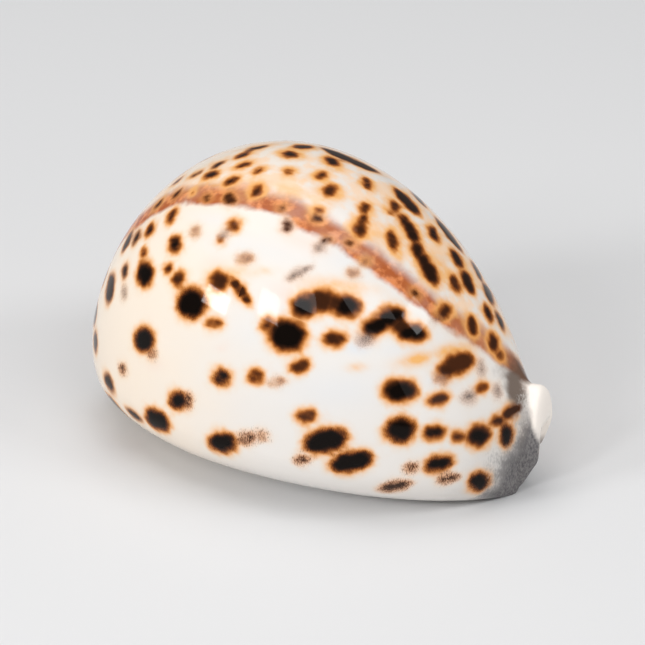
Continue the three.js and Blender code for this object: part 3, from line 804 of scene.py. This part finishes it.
shader = nodes.new("ShaderNodeBsdfPrincipled")
dull = number("MULTIPLY_ADD", number("MAXIMUM", bare, slate), DULLER, GLOSS)
links.new(number("MULTIPLY_ADD", noise(2, 4), GLOSS_SPREAD, dull), shader.inputs["Roughness"])
growth = number("MULTIPLY", noise(0.5, 3, (1.0, 6.0, 6.0)), ramp(z_mm, *GROWTH_FADE, 1.0, 0.0))
growth = number("MULTIPLY", growth, GROWTH_DEPTH)
relief = nodes.new("ShaderNodeBump")
relief.inputs["Strength"].default_value = 1.0
relief.inputs["Distance"].default_value = MM
links.new(number("ADD", number("MULTIPLY", noise(7, 2), WAVE_DEPTH), growth), relief.inputs["Height"])
links.new(relief.outputs[0], shader.inputs["Normal"])
shader.inputs["Specular IOR Level"].default_value = SHINE
links.new(colour, shader.inputs["Base Color"])
result = nodes.new("ShaderNodeOutputMaterial")
links.new(shader.outputs[0], result.inputs[0])

teeth = cowrie.modifiers.new("teeth", "NODES")
teeth.node_group = teeth_tree()
half_row = TEETH * TOOTH_PITCH / 2
settings = {
    "Pitch": TOOTH_PITCH * MM,
    "Half row": half_row * MM,
    "Fade": TEETH_FADE * MM,
    "Outer groove": GROOVE_OUTER * MM,
    "Inner groove": GROOVE_INNER * MM,
    "Middle": float(MOVE[0]) * MM,
    "Enamel": enamel,
}
for socket in teeth.node_group.interface.items_tree:
    if socket.in_out == "INPUT" and socket.name in settings:
        teeth[socket.identifier] = settings[socket.name]
depsgraph = bpy.context.evaluated_depsgraph_get()
finished = bpy.data.meshes.new_from_object(
    cowrie.evaluated_get(depsgraph), preserve_all_data_layers=True, depsgraph=depsgraph
)
cowrie.modifiers.clear()
cowrie.data = finished
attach(cowrie, "root")
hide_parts("shell")

# The studio. A pale floor that runs out of the picture, five panes of soft light in front and on the right
# that show in the polish, a weak fill beyond them, and a soft box overhead. None of it is part of the
# shell.
FLOOR_HALF = 3.0
PAPER, PAPER_ROUGHNESS, PAPER_SHINE = (0.74, 0.74, 0.745), 0.9, 0.1

floor_mesh = bpy.data.meshes.new("studio_floor")
floor_corners = [(x * FLOOR_HALF, y * FLOOR_HALF, 0) for x, y in ((-1, -1), (1, -1), (1, 1), (-1, 1))]
floor_mesh.from_pydata(floor_corners, [], [(0, 1, 2, 3)])
floor = bpy.data.objects.new("studio_floor", floor_mesh)
bpy.context.scene.collection.objects.link(floor)
paper = bpy.data.materials.new("pale_paper")
paper.use_nodes = True
paper_shader = paper.node_tree.nodes["Principled BSDF"]
paper_shader.inputs["Base Color"].default_value = (*PAPER, 1)
paper_shader.inputs["Roughness"].default_value = PAPER_ROUGHNESS
paper_shader.inputs["Specular IOR Level"].default_value = PAPER_SHINE
floor.data.materials.append(paper)

# each light's middle, and its width and height, in millimetres, and its brightness
LIGHTS = {
    "pane_left": ((-540, -745, 395), (200, 150), 30.0),
    "pane_middle": ((-165, -812, 540), (150, 240), 16.0),
    "pane_high": ((100, -740, 730), (180, 190), 6.0),
    "pane_right": ((500, -330, 780), (430, 230), 3.5),
    "pane_far": ((740, 55, 665), (330, 130), 12.0),
    "fill_right": ((1100, -500, 300), (700, 500), 1.2),
    "ceiling_box": ((-150, 50, 1100), (1000, 800), 2.1),
}
AIR, AIR_BRIGHTNESS = (0.98, 0.99, 1.0), 0.25


def soft_box(name, middle, size, brightness):
    """A rectangle of light that faces the shell; places and sizes in millimetres"""
    light = bpy.data.lights.new(name, "AREA")
    light.shape = "RECTANGLE"
    light.size, light.size_y = size[0] * MM, size[1] * MM
    light.energy = brightness * size[0] * size[1] * MM * MM * math.pi
    lamp = bpy.data.objects.new(name, light)
    lamp.location = [value * MM for value in middle]
    facing_shell = AIM - lamp.location
    lamp.rotation_euler = facing_shell.to_track_quat("-Z", "Y").to_euler()
    bpy.context.scene.collection.objects.link(lamp)


for name, (middle, size, brightness) in LIGHTS.items():
    soft_box(name, middle, size, brightness)
air = bpy.data.worlds.new("studio_air")
bpy.context.scene.world = air
air.use_nodes = True
air.node_tree.nodes["Background"].inputs[0].default_value = (*AIR, 1)
air.node_tree.nodes["Background"].inputs[1].default_value = AIR_BRIGHTNESS
bpy.context.scene.view_settings.view_transform = "Standard"
